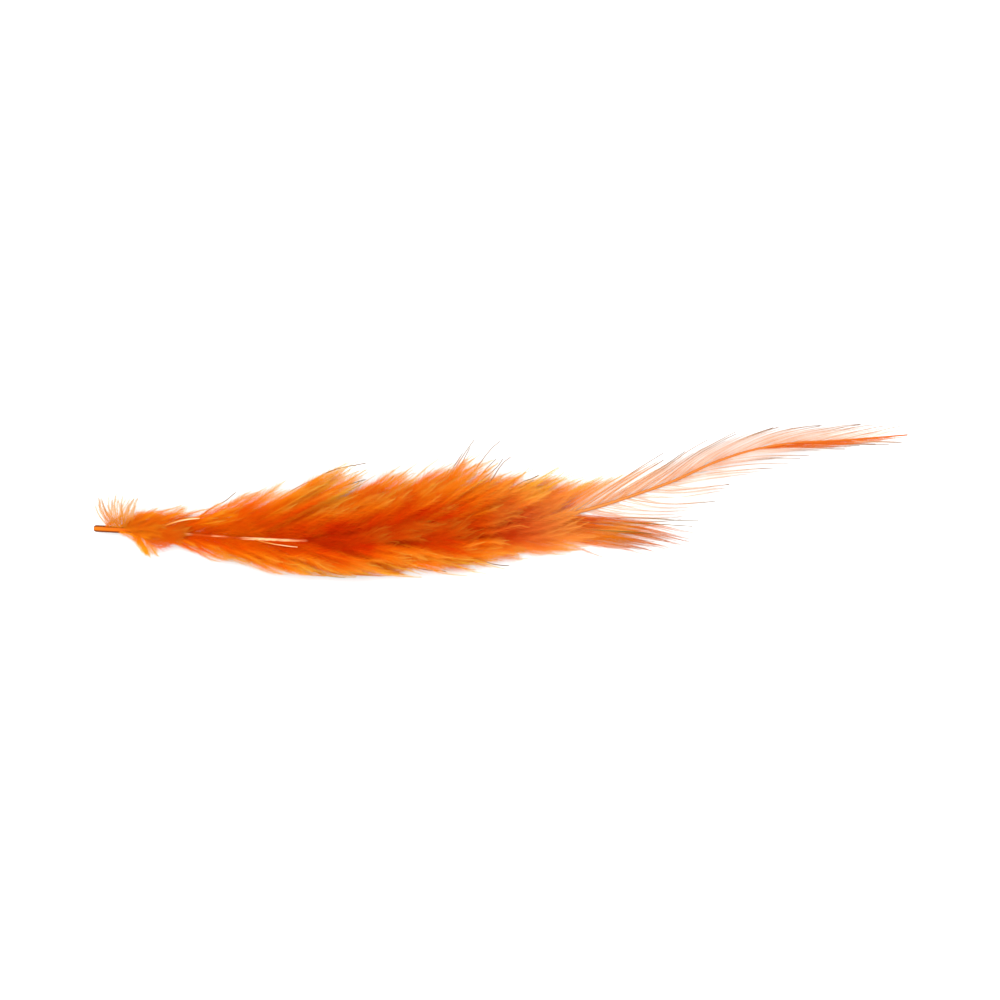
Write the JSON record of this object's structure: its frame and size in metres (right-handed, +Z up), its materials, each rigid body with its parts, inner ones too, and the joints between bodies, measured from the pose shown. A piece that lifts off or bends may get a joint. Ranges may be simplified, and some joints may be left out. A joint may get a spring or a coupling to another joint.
{
  "type": "rooster hackle feather",
  "caption": "Long narrow dyed neck feather of a rooster: bare quill, downy lower half and an open, pointed vane at the tip.",
  "frame": {"origin": "under the middle of the whole feather, on the surface that it lies on", "axes": "+X from the cut end of the quill to the tip, +Y across the feather, +Z up from the surface"},
  "size_m": [0.1046, 0.0194, 0.0059],
  "materials": {
    "feather": "dyed orange keratin: soft matt down, satin shaft"
  },
  "bodies": {
    "root": {"hackle_feather": "feather"}
  },
  "joints": []
}
